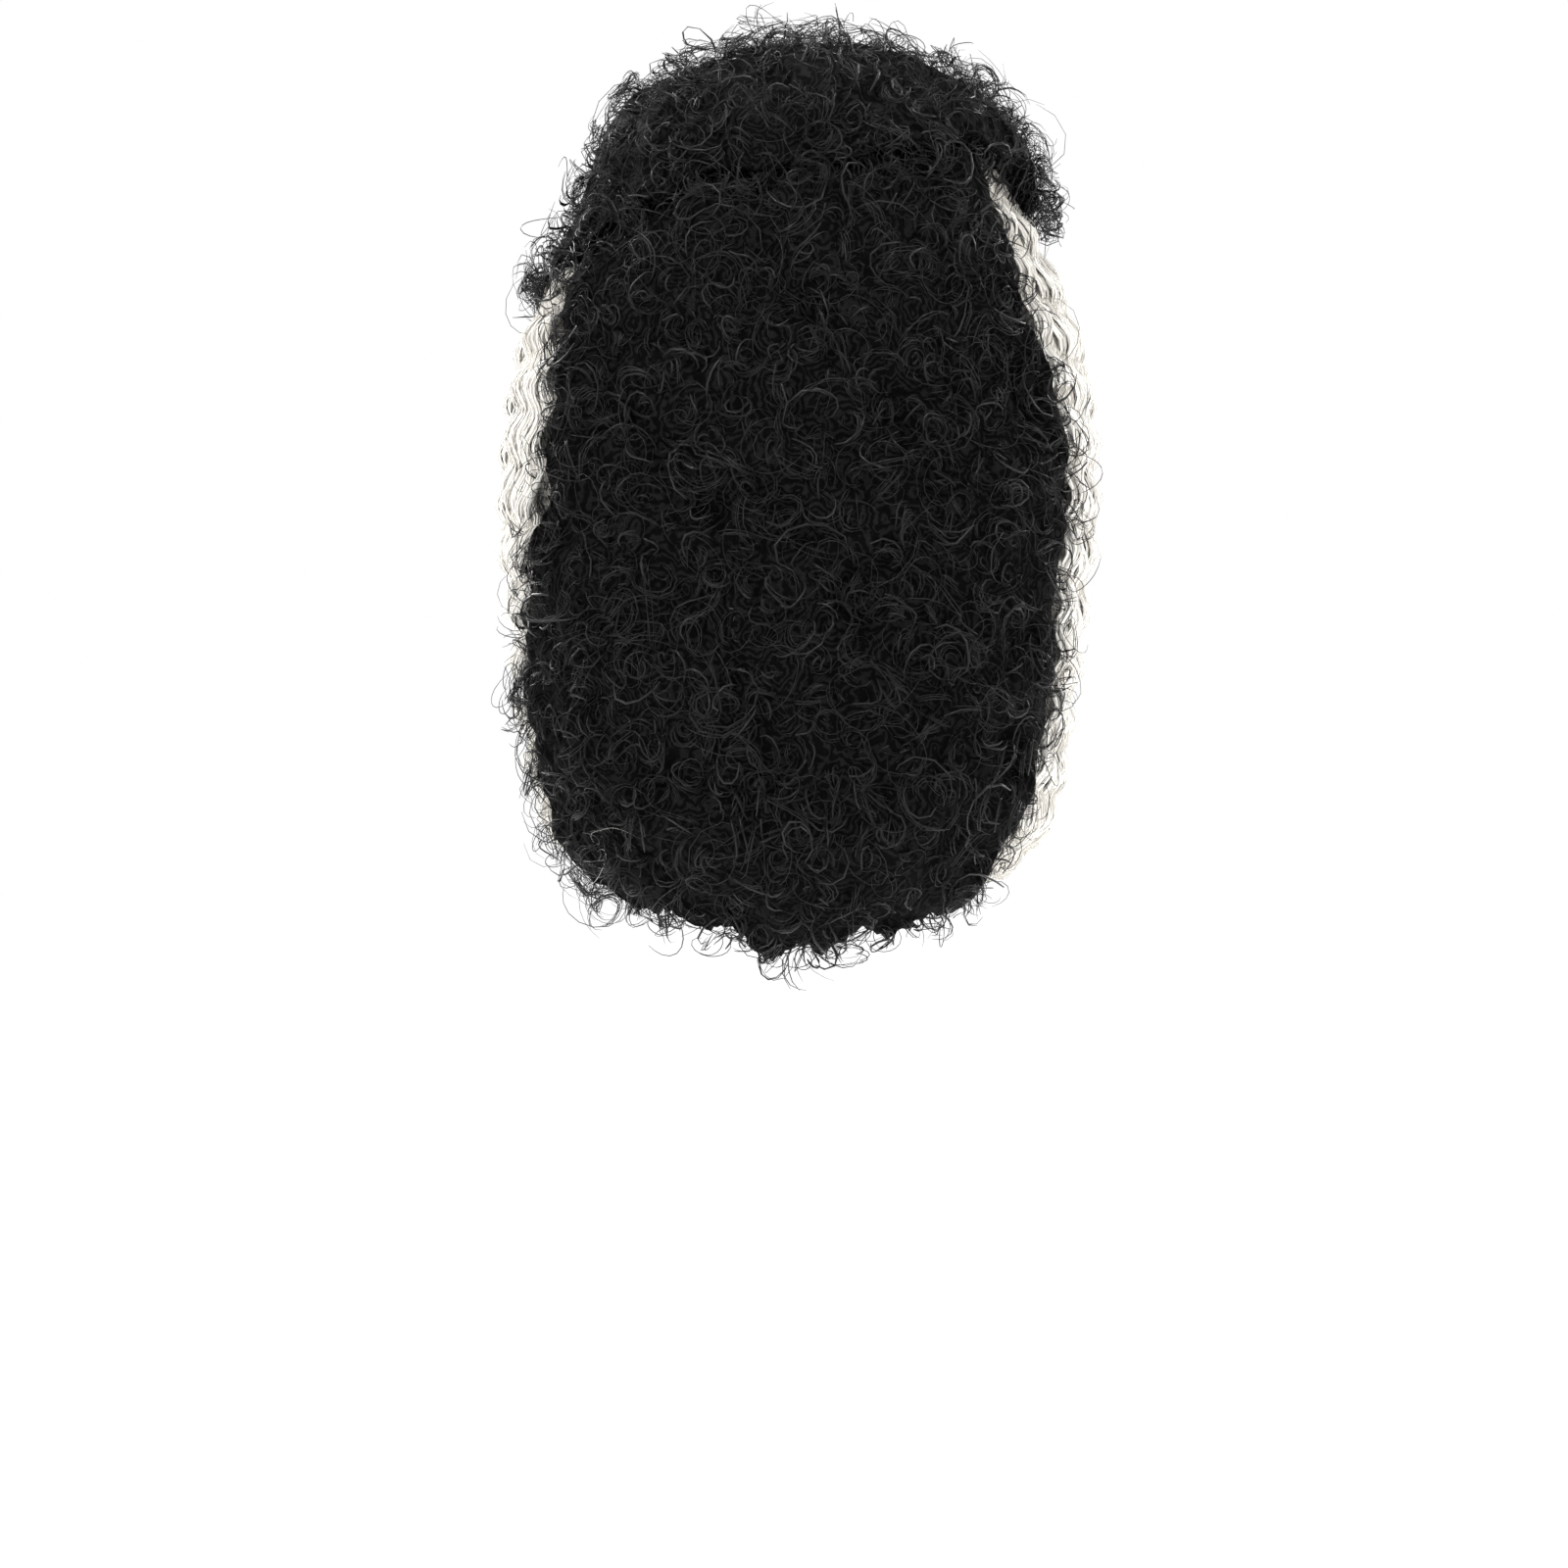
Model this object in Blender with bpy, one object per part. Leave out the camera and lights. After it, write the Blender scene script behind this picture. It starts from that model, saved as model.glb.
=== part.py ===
"""Tall curly two-tone costume wig: a net cap, four hair masses rooted on it and a crown of curls on top.

Frame: metres, +Z up, the face towards -Y and the wearer's left towards +X.
The origin is the inside of the cap's crown, where the wig sits on the top of a head.
"turn" is the angle round the head in degrees: 0 is the back, 90 the wearer's left, 180 the face.
"""

import math

import bmesh
import bpy
import numpy as np

# The head that the cap fits
HEAD_WIDTH = 0.155
HEAD_FRONT = 0.096
HEAD_BACK = 0.098
HEAD_DROP = 0.190
HEAD_DOME = 0.080

# The cap and the clearances between pieces
CAP_WALL = 0.002
CAP_CLEARANCE = 0.0004
SIDE_CLEARANCE = 0.0004
CROWN_CLEARANCE = 0.0005

# The outline of the hair
HAIR_WIDTH = 0.362
HAIR_FRONT = 0.118
HAIR_BACK = 0.163
TOWER_HEIGHT = 0.348
SHOULDER_HEIGHT = 0.262
NAPE_DROP = 0.206
DOME_POWER = 2.2
TOP_LEAN = 0.008

# Where the masses' lowest and highest rows end on the middle line, between the hem and the crown's lip
CORE_FOOT = -0.074
CORE_HEIGHT = 0.180

# The crown's lip, which hangs over the hair below it
LIP_DEPTH = 0.024
LIP_THICKNESS = 0.013
LIP_BULGE = 0.010

# Relief of the curls and of the crimped side hair
CURL_SPACING = 0.041
CURL_REACH = 0.72
CURL_RELIEF = 0.015
CURL_SCATTER = 0.28
WAVE_PITCH = 0.044
WAVE_RELIEF = 0.004
LOCK_RELIEF = 0.007
LOCK_WIDTH = 0.036
HEM_SCALLOP = 0.005
LIP_SCALLOP = 0.003

# Columns: share of the drop below the crown, share of half the width, of the front and of the back
HEAD_SECTIONS = (
    (0.42, 1.000, 1.000, 1.000),
    (0.58, 1.000, 0.990, 0.985),
    (0.79, 0.945, 0.940, 0.870),
    (1.00, 0.800, 0.830, 0.640),
    (1.30, 0.680, 0.760, 0.540),
)

# Columns: height as a share of the shoulder's height, or below the crown of the nape's drop,
# then shares of half the hair's width, of its front and of its back
HAIR_SECTIONS = (
    (-1.10, 0.44, 0.60, 0.50),
    (-1.00, 0.50, 0.65, 0.58),
    (-0.91, 0.59, 0.70, 0.69),
    (-0.82, 0.67, 0.75, 0.78),
    (-0.74, 0.75, 0.80, 0.86),
    (-0.65, 0.82, 0.86, 0.92),
    (-0.54, 0.87, 0.90, 0.955),
    (-0.38, 0.90, 0.93, 0.985),
    (-0.20, 0.93, 0.95, 1.00),
    (0.00, 0.955, 0.97, 0.995),
    (0.12, 0.98, 0.99, 0.98),
    (0.27, 1.00, 1.00, 0.96),
    (0.52, 0.98, 1.00, 0.92),
    (0.72, 0.905, 0.97, 0.87),
    (0.86, 0.805, 0.94, 0.83),
    (1.00, 0.710, 0.90, 0.78),
)

# Columns: turn, drop of the hair's hem as a share of the nape's drop. A tuft hangs a little left of the nape
HEM = (
    (-180, 0.270),
    (-150, 0.275),
    (-128, 0.320),
    (-118, 0.495),
    (-108, 0.670),
    (-95, 0.720),
    (-76, 0.750),
    (-63, 0.815),
    (-42, 0.905),
    (-20, 0.940),
    (-2, 0.985),
    (14, 0.985),
    (27, 0.905),
    (42, 0.885),
    (63, 0.820),
    (76, 0.750),
    (95, 0.720),
    (108, 0.670),
    (118, 0.495),
    (128, 0.320),
    (150, 0.275),
    (180, 0.270),
)

# Columns: turn from the back on either side, drop of the cap's rim as a share of the head's drop
CAP_RIM = (
    (0, 0.91),
    (38, 0.83),
    (62, 0.68),
    (86, 0.54),
    (108, 0.61),
    (118, 0.45),
    (130, 0.30),
    (180, 0.28),
)

# Columns: turn, height of the crown's lip as a share of the shoulder's height, share of the lip's bulge.
# The lip hangs lowest over the wearer's left side, and on the right one long lock lies over the pale hair
CROWN_LIP = (
    (-180, 0.99, 0.2),
    (-135, 1.02, 0.3),
    (-104, 0.97, 1.0),
    (-86, 0.955, 1.2),
    (-70, 1.02, 0.9),
    (-55, 1.07, 0.3),
    (-30, 1.04, 0.0),
    (0, 0.99, 0.0),
    (30, 0.96, 0.0),
    (58, 0.86, 0.0),
    (80, 0.79, 0.2),
    (102, 0.80, 0.3),
    (135, 0.92, 0.3),
    (180, 0.99, 0.2),
)

# Columns: height as in HAIR_SECTIONS, turn of the edge between back and side hair on the left, right
BACK_EDGES = (
    (-1.00, 72, 60),
    (-0.56, 75, 60),
    (-0.38, 77, 65),
    (-0.20, 77, 66),
    (-0.04, 71, 65),
    (0.11, 68, 62),
    (0.24, 60, 65),
    (0.52, 57, 60),
    (0.72, 62, 55),
    (0.86, 68, 57),
    (1.00, 69, 58),
)
FRONT_EDGE_TURN = 118

# Facets
BACK_COLUMNS = 38
SIDE_COLUMNS = 14
FRONT_COLUMNS = 16
HAIR_ROWS = 36
CROWN_ROWS = 9
CAP_COLUMNS = 36
CAP_DOME_ROWS = 6
CAP_SIDE_ROWS = 5

EDGE_STEPS = 8
CURL_SEED = 7
GOLDEN_TURN = 360 * (3 - math.sqrt(5)) / 2
COLLECTION = "curly_wig"

# Colours of the two fibres.
BLACK = (0.009, 0.009, 0.010)
OFF_WHITE = (0.80, 0.77, 0.71)


def smooth(rows, at, column):
    """A Catmull-Rom curve through one column of a table, read at a value of its first column."""
    keys = [row[0] for row in rows]
    values = [row[column] for row in rows]
    at = min(max(at, keys[0]), keys[-1])
    k = min(max(int(np.searchsorted(keys, at)) - 1, 0), len(keys) - 2)
    span = keys[k + 1] - keys[k]
    share = (at - keys[k]) / span
    before = max(k - 1, 0)
    after = min(k + 2, len(keys) - 1)
    slope_in = (values[k + 1] - values[before]) / (keys[k + 1] - keys[before]) * span
    slope_out = (values[after] - values[k]) / (keys[after] - keys[k]) * span
    cube = 2 * values[k] - 2 * values[k + 1] + slope_in + slope_out
    square = 3 * values[k + 1] - 3 * values[k] - 2 * slope_in - slope_out
    return ((cube * share + square) * share + slope_in) * share + values[k]


def wrapped_turn(turn):
    return (turn + 180) % 360 - 180


def level(height):
    """A height as the share that the hair's tables use."""
    return height / SHOULDER_HEIGHT if height > 0 else height / NAPE_DROP


def on_ellipse(turn, half_width, front, back, height):
    angle = math.radians(turn)
    along = back if math.cos(angle) > 0 else front
    return np.array((half_width * math.sin(angle), along * math.cos(angle), height))


def head_point(turn, height, grow=0.0):
    """A point on the head's surface, moved out by grow. Height is measured down from the crown, so it
    is negative.
    """
    if height > -HEAD_DOME:
        rise = (HEAD_DOME + height) / HEAD_DOME
        round_in = math.sqrt(max(1 - rise * rise, 0))
        shares = (round_in, round_in, round_in)
    else:
        rise = 0.0
        drop = -height / HEAD_DROP
        shares = [smooth(HEAD_SECTIONS, drop, column) for column in (1, 2, 3)]
    flat = math.sqrt(1 - rise * rise)
    return on_ellipse(
        turn,
        shares[0] * HEAD_WIDTH / 2 + flat * grow,
        shares[1] * HEAD_FRONT + flat * grow,
        shares[2] * HEAD_BACK + flat * grow,
        height + rise * grow,
    )


def hair_point(turn, height, grow=0.0):
    """A point on the hair's smooth outline, moved out by grow, and the direction that faces out there."""
    over = max(height - SHOULDER_HEIGHT, 0) / (TOWER_HEIGHT - SHOULDER_HEIGHT)
    round_in = max(1 - over**DOME_POWER, 0) ** (1 / DOME_POWER)
    lean = over * math.pi / 2
    shares = [smooth(HAIR_SECTIONS, level(min(height, SHOULDER_HEIGHT)), c) for c in (1, 2, 3)]
    point = on_ellipse(
        turn,
        shares[0] * round_in * HAIR_WIDTH / 2,
        shares[1] * round_in * HAIR_FRONT,
        shares[2] * round_in * HAIR_BACK,
        height,
    )
    point[0] -= TOP_LEAN * (max(height, 0) / TOWER_HEIGHT) ** 2
    away = on_ellipse(turn, shares[0] * HAIR_WIDTH / 2, shares[1] * HAIR_FRONT, shares[2] * HAIR_BACK, 0)
    out = away / np.linalg.norm(away) * math.cos(lean) + np.array((0, 0, math.sin(lean)))
    return point + out * grow, out


def hem_height(turn):
    scallop = HEM_SCALLOP * math.cos(turn * math.pi * 2 / 21)
    return -NAPE_DROP * smooth(HEM, turn, 1) + scallop


def lip_height(turn):
    wrapped = wrapped_turn(turn)
    scallop = LIP_SCALLOP * math.cos(wrapped * math.pi * 2 / 24)
    return SHOULDER_HEIGHT * smooth(CROWN_LIP, wrapped, 1) + scallop


def curl_centres():
    """Centres and sizes of the curls: a golden-angle spiral from hem to crown, even by surface, then
    scattered.
    """
    heights = np.linspace(-NAPE_DROP, TOWER_HEIGHT, 200)
    rise = [0.0]
    for low, high in zip(heights[:-1], heights[1:]):
        a, b = (hair_point(90, height)[0] for height in (low, high))
        depth = hair_point(0, low)[0][1] - hair_point(180, low)[0][1]
        rise.append(rise[-1] + math.pi * (a[0] + depth / 2) * np.linalg.norm(b - a))
    count = int(rise[-1] / (CURL_SPACING**2 * math.sqrt(3) / 2))
    chance = np.random.default_rng(CURL_SEED)
    found = []
    for i in range(count):
        height = float(np.interp((i + 0.5) / count * rise[-1], rise, heights))
        centre = hair_point(i * GOLDEN_TURN, height)[0]
        size = chance.uniform(0.8, 1.1)
        found.append((*(centre + chance.normal(0, CURL_SCATTER * CURL_SPACING / 2, 3)), size))
    return np.array(found)


def curl_relief(point, centres):
    """How far the curls round a point lift the surface there: each is a round knob, with creases
    between.
    """
    away = np.sqrt(((centres[:, :3] - point) ** 2).sum(1)) / (centres[:, 3] * CURL_SPACING * CURL_REACH)
    near = float(away.min())
    return CURL_RELIEF * (math.sqrt(1 - near * near) - 0.5 if near < 1 else -0.5)


def wave_relief(turn, height):
    """Crimped waves down the pale side hair, in round locks that lie a little out of step."""
    lock = turn * HAIR_WIDTH / LOCK_WIDTH * math.pi / 360
    wave = math.sin(height / WAVE_PITCH * 2 * math.pi + 1.1 * math.sin(lock * 1.7))
    return WAVE_RELIEF * wave + LOCK_RELIEF * (abs(math.sin(lock * math.pi)) - 0.8)


def turns_between(first, last, cells):
    return [first + (last - first) * i / cells for i in range(cells + 1)]


def hair_height(turn, share):
    """The height of a share of the way from the hem to the crown's lip."""
    low = hem_height(wrapped_turn(turn))
    return low + (lip_height(turn) - CROWN_CLEARANCE - low) * share


def edges_at(share):
    """The turns where the masses meet, that share of the way up: left back, left front, right front,
    right back.
    """
    found = []
    for column, side in ((1, 1), (2, -1)):
        turn = BACK_EDGES[0][column]
        for _ in range(EDGE_STEPS):
            turn = smooth(BACK_EDGES, level(hair_height(side * turn, share)), column)
        found.append(turn)
    return found[0], FRONT_EDGE_TURN, 360 - FRONT_EDGE_TURN, 360 - found[1]


def closed_mesh(name, points, faces, colour, roughness=0.6):
    """A solid from points and faces, with doubles merged and its faces turned outwards."""
    shape = bmesh.new()
    made = [shape.verts.new(point) for point in points]
    for face in faces:
        shape.faces.new([made[i] for i in face])
    bmesh.ops.remove_doubles(shape, verts=shape.verts, dist=1e-6)
    bmesh.ops.dissolve_degenerate(shape, edges=shape.edges, dist=1e-7)
    bmesh.ops.recalc_face_normals(shape, faces=shape.faces)
    mesh = bpy.data.meshes.new(name)
    shape.to_mesh(mesh)
    shape.free()
    solid = bpy.data.objects.new(name, mesh)
    solid.data.materials.append(finish(name, colour, roughness))
    return solid


def finish(name, colour, roughness):
    material = bpy.data.materials.new(name)
    material.use_nodes = True
    shader = material.node_tree.nodes["Principled BSDF"]
    shader.inputs["Base Color"].default_value = (*colour, 1)
    shader.inputs["Roughness"].default_value = roughness
    return material


def strip(first, second, count, wrap):
    """Triangles between two rows of points that start at these indices, split from a first row's point
    to the next of the second, so that neighbours who name their rows alike share facets."""
    faces = []
    for i in range(count if wrap else count - 1):
        after = (i + 1) % count
        faces.append((first + i, first + after, second + after))
        faces.append((first + i, second + after, second + i))
    return faces


def in_collection(solid):
    bpy.data.collections[COLLECTION].objects.link(solid)
    solid.data.shade_smooth()
    solid.data.set_sharp_from_angle(angle=math.radians(50))
    return solid


def cutter(solid):
    solid.hide_render = True
    solid.display_type = "WIRE"
    bpy.data.collections["cutters"].objects.link(solid)
    return solid


def cut(solid, tool):
    modifier = solid.modifiers.new("hollow", "BOOLEAN")
    modifier.operation = "DIFFERENCE"
    modifier.object = tool
    return solid


def head_rows(grow, lowest):
    """Rows of points down the head from just below the crown's pole to a lowest height."""
    dome = [HEAD_DOME * (math.cos(math.pi / 2 * i / CAP_DOME_ROWS) - 1) for i in range(CAP_DOME_ROWS + 1)]
    below = turns_between(-HEAD_DOME, lowest, CAP_SIDE_ROWS)[1:]
    columns = [360 * i / CAP_COLUMNS for i in range(CAP_COLUMNS)]
    return columns, [[head_point(turn, height, grow) for turn in columns] for height in dome + below]


def trimmed(rows, columns):
    """Rows of the head's surface that end at the cap's rim: what lies lower is drawn up to the rim."""
    points = np.array(rows)
    ended = np.empty_like(points)
    for column, turn in enumerate(columns):
        rim = -HEAD_DROP * smooth(CAP_RIM, abs(wrapped_turn(turn)), 1)
        heights = points[:, column, 2]
        kept = np.maximum(heights, rim)
        for axis in range(3):
            ended[:, column, axis] = np.interp(-kept, -heights, points[:, column, axis])
    return ended


def make_cap():
    """The net cap: a wall over the head, open at the face and below, with a tab before each ear."""
    lowest = -HEAD_DROP
    columns, outer = head_rows(CAP_WALL, lowest)
    inner = head_rows(0.0, lowest)[1]
    layers = (trimmed(outer, columns), trimmed(inner, columns))
    rows = len(outer)
    points, faces = [], []
    for layer in layers:
        start = len(points)
        points += [point for row in layer for point in row]
        for row in range(rows - 1):
            low = start + row * CAP_COLUMNS
            faces += strip(low, low + CAP_COLUMNS, CAP_COLUMNS, True)
    last = (rows - 1) * CAP_COLUMNS
    faces += strip(last, rows * CAP_COLUMNS + last, CAP_COLUMNS, True)
    faces = [face for face in faces if len({tuple(np.round(points[i], 7)) for i in face}) > 2]
    return in_collection(closed_mesh("wig_cap", points, faces, (0.012, 0.012, 0.014), 0.8))


def head_cutter():
    """The room that the head and its cap take in the hair."""
    grow = CAP_WALL + CAP_CLEARANCE
    columns, rows = head_rows(grow, -HEAD_DROP)
    lowest = -NAPE_DROP - 2 * HEM_SCALLOP - HEAD_WIDTH / 4
    rows.append([head_point(turn, -HEAD_DROP, grow) + (0, 0, lowest + HEAD_DROP) for turn in columns])
    points = [point for row in rows for point in row]
    faces = []
    for row in range(len(rows) - 1):
        faces += strip(row * CAP_COLUMNS, (row + 1) * CAP_COLUMNS, CAP_COLUMNS, True)
    floor = list(range(len(points) - CAP_COLUMNS, len(points)))
    faces.append(floor)
    faces = [face for face in faces if len({tuple(np.round(points[i], 7)) for i in face}) > 2]
    return cutter(closed_mesh("head_room", points, faces, (0.8, 0.8, 0.8)))


def ledge_rings(turns):
    """The rings where a mass's top goes in under the crown: the ledge's outer edge, its foot and its
    top.
    """
    rings = []
    for rise, grow in ((0.0, 0.0), (0.0, -LIP_THICKNESS), (LIP_DEPTH, -LIP_THICKNESS)):
        ring = []
        for turn in turns:
            height = lip_height(turn) - CROWN_CLEARANCE
            point, out = hair_point(turn, height + rise, grow)
            ring.append(point)
        rings.append(ring)
    return rings


def hair_mass(name, sector, cells, relief, colour, tool):
    """A wedge of hair from the wig's middle line out to its surface, from hem to crown, hollow over the cap.

    sector picks the wedge's first and last turn out of edges_at's list.
    """
    rings = []
    for row in range(HAIR_ROWS):
        share = row / HAIR_ROWS
        ring = []
        for column, turn in enumerate(turns_between(*sector(edges_at(share)), cells)):
            height = hair_height(turn, share)
            point, out = hair_point(turn, height)
            fade = min(1, (1 - share) * HAIR_ROWS / 2, column, cells - column)
            ring.append(point + out * relief(turn, height, point) * fade)
        middle = CORE_FOOT + (CORE_HEIGHT - CORE_FOOT) * share
        rings.append(wedge_ring(ring, middle))
    ledge = ledge_rings(turns_between(*sector(edges_at(1.0)), cells))
    for ring, middle in zip(ledge, (CORE_HEIGHT, CORE_HEIGHT, SHOULDER_HEIGHT + LIP_DEPTH)):
        rings.append(wedge_ring(ring, middle))
    count = cells + 2
    points = [point for ring in rings for point in ring]
    faces = []
    for row in range(len(rings) - 1):
        low = row * count
        high = low + count
        faces += strip(low, high, cells + 1, False)
        for end in (cells, 0):
            faces.append((low + cells + 1, low + end, high + end))
            faces.append((low + cells + 1, high + end, high + cells + 1))
    for start in (0, (len(rings) - 1) * count):
        faces += [(start + i, start + i + 1, start + cells + 1) for i in range(cells)]
    return in_collection(cut(closed_mesh(name, points, faces, colour), tool))


def wedge_ring(ring, middle):
    """Closes a wedge's arc with a point by the middle line, its two ends drawn in by half the
    clearance.
    """
    ring = [point.copy() for point in ring]
    first, last = ring[0], ring[-1]
    half = SIDE_CLEARANCE / 2
    span = last - first
    across = []
    for end, towards in ((first, span), (last, -span)):
        side = np.array((-end[1], end[0], 0)) / math.hypot(end[0], end[1])
        across.append(side if side @ towards > 0 else -side)
    apex = across[0] + across[1]
    apex = apex / (apex @ across[0]) * half
    apex[2] = middle
    ring[0] = first + across[0] * half
    ring[-1] = last + across[1] * half
    return ring + [apex]


def make_crown(centres):
    """The curls on top, with a lip that hangs over the hair masses below."""
    back, left, right, back_again = edges_at(1.0)
    turns = turns_between(back_again - 360, back, BACK_COLUMNS)[:-1]
    turns += turns_between(back, left, SIDE_COLUMNS)[:-1]
    turns += turns_between(left, right, FRONT_COLUMNS)[:-1]
    turns += turns_between(right, back_again, SIDE_COLUMNS)[:-1]
    count = len(turns)
    rings = []
    for row in range(CROWN_ROWS):
        rise = math.sin(math.pi / 2 * row / CROWN_ROWS)
        ring = []
        for turn in turns:
            low = lip_height(turn)
            point, out = hair_point(turn, low + (TOWER_HEIGHT - low) * rise)
            bulge = LIP_BULGE * smooth(CROWN_LIP, wrapped_turn(turn), 2) * (1 - rise)
            ring.append(point + out * (bulge + curl_relief(point, centres)))
        rings.append(ring)
    under = []
    for ring in ledge_rings(turns):
        moved = []
        for point in ring:
            away = point * (1, 1, 0) / math.hypot(point[0], point[1])
            moved.append(point + (away + np.array((0, 0, 1))) * CROWN_CLEARANCE)
        under.append(moved)
    rings = list(reversed(under)) + rings
    points = [point for ring in rings for point in ring]
    faces = []
    for row in range(len(rings) - 1):
        low, high = row * count, (row + 1) * count
        faces += strip(high, low, count, True) if row < 3 else strip(low, high, count, True)
    points.append(np.array((0, 0, SHOULDER_HEIGHT + LIP_DEPTH + CROWN_CLEARANCE)))
    points.append(np.array((0, 0, TOWER_HEIGHT + CURL_RELIEF / 2)))
    last = (len(rings) - 1) * count
    faces += [(i, (i + 1) % count, len(points) - 2) for i in range(count)]
    faces += [(last + i, last + (i + 1) % count, len(points) - 1) for i in range(count)]
    return in_collection(closed_mesh("crown_hair", points, faces, BLACK))


def main():
    for obj in list(bpy.data.objects):
        bpy.data.objects.remove(obj)
    for name in (COLLECTION, "cutters"):
        collection = bpy.data.collections.new(name)
        bpy.context.scene.collection.children.link(collection)
    centres = curl_centres()
    room = head_cutter()

    def curls(turn, height, point):
        return curl_relief(point, centres)

    def waves(turn, height, point):
        return wave_relief(turn, height)

    def back(edges):
        return edges[3] - 360, edges[0]

    def left(edges):
        return edges[0], edges[1]

    def front(edges):
        return edges[1], edges[2]

    def right(edges):
        return edges[2], edges[3]

    make_cap()
    hair_mass("back_hair", back, BACK_COLUMNS, curls, BLACK, room)
    hair_mass("left_side_hair", left, SIDE_COLUMNS, waves, OFF_WHITE, room)
    hair_mass("front_hair", front, FRONT_COLUMNS, curls, BLACK, room)
    hair_mass("right_side_hair", right, SIDE_COLUMNS, waves, OFF_WHITE, room)
    make_crown(centres)


main()
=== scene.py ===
# %% [markdown]
# # A tall curly costume wig
# The wig is a net cap with rows of synthetic hair sewn on it. Black hair is set in tight ringlets over the
# back, the front and the crown, and a panel of off-white crimped hair runs down each side. The solids give
# each mass its place. Here every mass gets a dark or pale body of packed hair, and thousands of curled
# strands over it, because it is the strands that make the outline and the highlights.

import math

import bpy
import numpy as np
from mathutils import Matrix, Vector
from mathutils.bvhtree import BVHTree


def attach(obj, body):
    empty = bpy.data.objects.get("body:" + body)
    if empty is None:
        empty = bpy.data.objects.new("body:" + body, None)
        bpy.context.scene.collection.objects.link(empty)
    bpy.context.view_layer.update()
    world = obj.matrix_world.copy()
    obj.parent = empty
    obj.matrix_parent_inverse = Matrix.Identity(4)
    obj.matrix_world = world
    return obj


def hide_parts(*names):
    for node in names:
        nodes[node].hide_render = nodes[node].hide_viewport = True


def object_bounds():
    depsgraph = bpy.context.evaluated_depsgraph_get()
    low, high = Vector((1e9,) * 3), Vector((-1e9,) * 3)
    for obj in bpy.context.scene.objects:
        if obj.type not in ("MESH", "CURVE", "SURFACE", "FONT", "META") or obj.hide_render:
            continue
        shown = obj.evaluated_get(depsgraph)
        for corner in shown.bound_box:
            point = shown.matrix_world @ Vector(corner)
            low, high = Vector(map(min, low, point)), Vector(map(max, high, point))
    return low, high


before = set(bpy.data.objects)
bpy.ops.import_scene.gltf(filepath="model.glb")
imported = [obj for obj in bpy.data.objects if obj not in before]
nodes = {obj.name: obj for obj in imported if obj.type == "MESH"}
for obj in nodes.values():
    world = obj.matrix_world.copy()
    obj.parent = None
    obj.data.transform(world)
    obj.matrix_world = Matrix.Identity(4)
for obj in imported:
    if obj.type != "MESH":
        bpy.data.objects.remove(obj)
cad_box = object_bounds()
BLACK_NODES = ("back_hair", "front_hair", "crown_hair")
PALE_NODES = ("left_side_hair", "right_side_hair")
MM = 0.001
LANES = 16
SPARE = 8 * MM
rng = np.random.default_rng(11)
low_corner, high_corner = np.array(cad_box[0]), np.array(cad_box[1])
reach_out = 0.03 * (high_corner - low_corner) + SPARE
triangle_counts = []


def unit(v):
    return v / np.maximum(np.linalg.norm(v, axis=-1, keepdims=True), 1e-9)


def triangles_of(name):
    """The corners of a node's triangles, as an array of triangle, corner and axis."""
    mesh = nodes[name].data
    mesh.calc_loop_triangles()
    points = np.empty(len(mesh.vertices) * 3)
    mesh.vertices.foreach_get("co", points)
    corners = np.empty(len(mesh.loop_triangles) * 3, dtype=np.int32)
    mesh.loop_triangles.foreach_get("vertices", corners)
    return points.reshape(-1, 3)[corners].reshape(-1, 3, 3)


solids = {name: triangles_of(name) for name in nodes}
everything = np.concatenate(list(solids.values()))
all_solids = BVHTree.FromPolygons(
    [Vector(p) for p in everything.reshape(-1, 3)],
    [(3 * i, 3 * i + 1, 3 * i + 2) for i in range(len(everything))],
)
print("CAD triangles", {name: len(t) for name, t in solids.items()})

# %% [markdown]
# ## Where curls grow
# On a real wig each ringlet is a bunch of fibres that was wound on a rod and set. They sit side by side all
# over the surface, so their places are drawn at random by area and thinned until no two are too close.

# %% Points on the outer surface
OPEN_AIR = 14 * MM
TOUCH = 0.05 * MM


def outer_points(name, spacing, tries):
    """Points spread over the outer surface of a node at least spacing apart, and the direction out there."""
    tri = solids[name]
    cross = np.cross(tri[:, 1] - tri[:, 0], tri[:, 2] - tri[:, 0])
    area = np.linalg.norm(cross, axis=1)
    picks = rng.choice(len(tri), tries, p=area / area.sum())
    a, b = rng.random((2, tries, 1))
    folded = a + b > 1
    a, b = np.where(folded, 1 - a, a), np.where(folded, 1 - b, b)
    chosen = tri[picks]
    points = chosen[:, 0] + a * (chosen[:, 1] - chosen[:, 0]) + b * (chosen[:, 2] - chosen[:, 0])
    facing = unit(cross[picks])
    cells, found = {}, []
    for i in range(tries):
        key = tuple(np.floor(points[i] / spacing).astype(int))
        near = [
            j
            for dx in (-1, 0, 1)
            for dy in (-1, 0, 1)
            for dz in (-1, 0, 1)
            for j in cells.get((key[0] + dx, key[1] + dy, key[2] + dz), ())
        ]
        if any(np.linalg.norm(points[i] - points[j]) < spacing for j in near):
            continue
        start = Vector(points[i] + facing[i] * TOUCH)
        if all_solids.ray_cast(start, Vector(facing[i]), OPEN_AIR)[0] is not None:
            continue
        cells.setdefault(key, []).append(i)
        found.append(i)
    points, facing = points[found], facing[found]
    spine = np.stack([np.zeros(len(points)), np.zeros(len(points)), np.clip(points[:, 2], -0.1, 0.22)], 1)
    away = unit(points - spine)
    return points, unit(facing * 0.5 + away * 0.7)


CURL_SPACING = 15.5 * MM
places = {name: outer_points(name, CURL_SPACING, 22000) for name in BLACK_NODES}


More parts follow.
